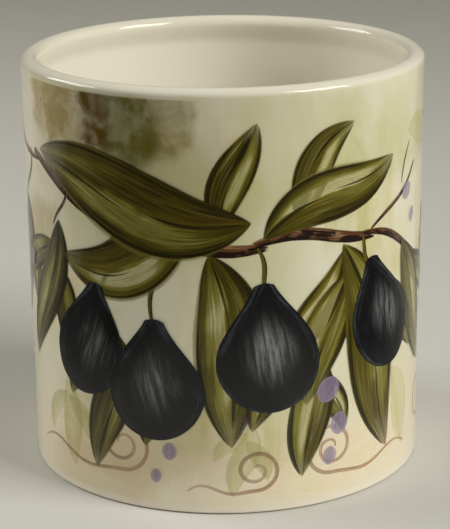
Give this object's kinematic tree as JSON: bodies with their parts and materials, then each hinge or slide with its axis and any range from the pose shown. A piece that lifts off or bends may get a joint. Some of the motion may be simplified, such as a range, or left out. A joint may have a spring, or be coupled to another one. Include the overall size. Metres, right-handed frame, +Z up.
{
  "type": "crock",
  "caption": "Open-topped round kitchen crock with nearly straight walls, a rounded lip that is thicker than the wall and a narrow foot ring, in cream glaze with painted fruit and leaves.",
  "frame": {"origin": "on the crock's axis, on the plane that its foot ring stands on", "axes": "+Z up along the crock's axis, out of its open mouth; the painted front of the picture faces -Y"},
  "size_m": [0.152, 0.152, 0.1575],
  "materials": {
    "cream_glaze": "gloss"
  },
  "bodies": {
    "root": {"crock_body": "cream_glaze"}
  },
  "joints": []
}
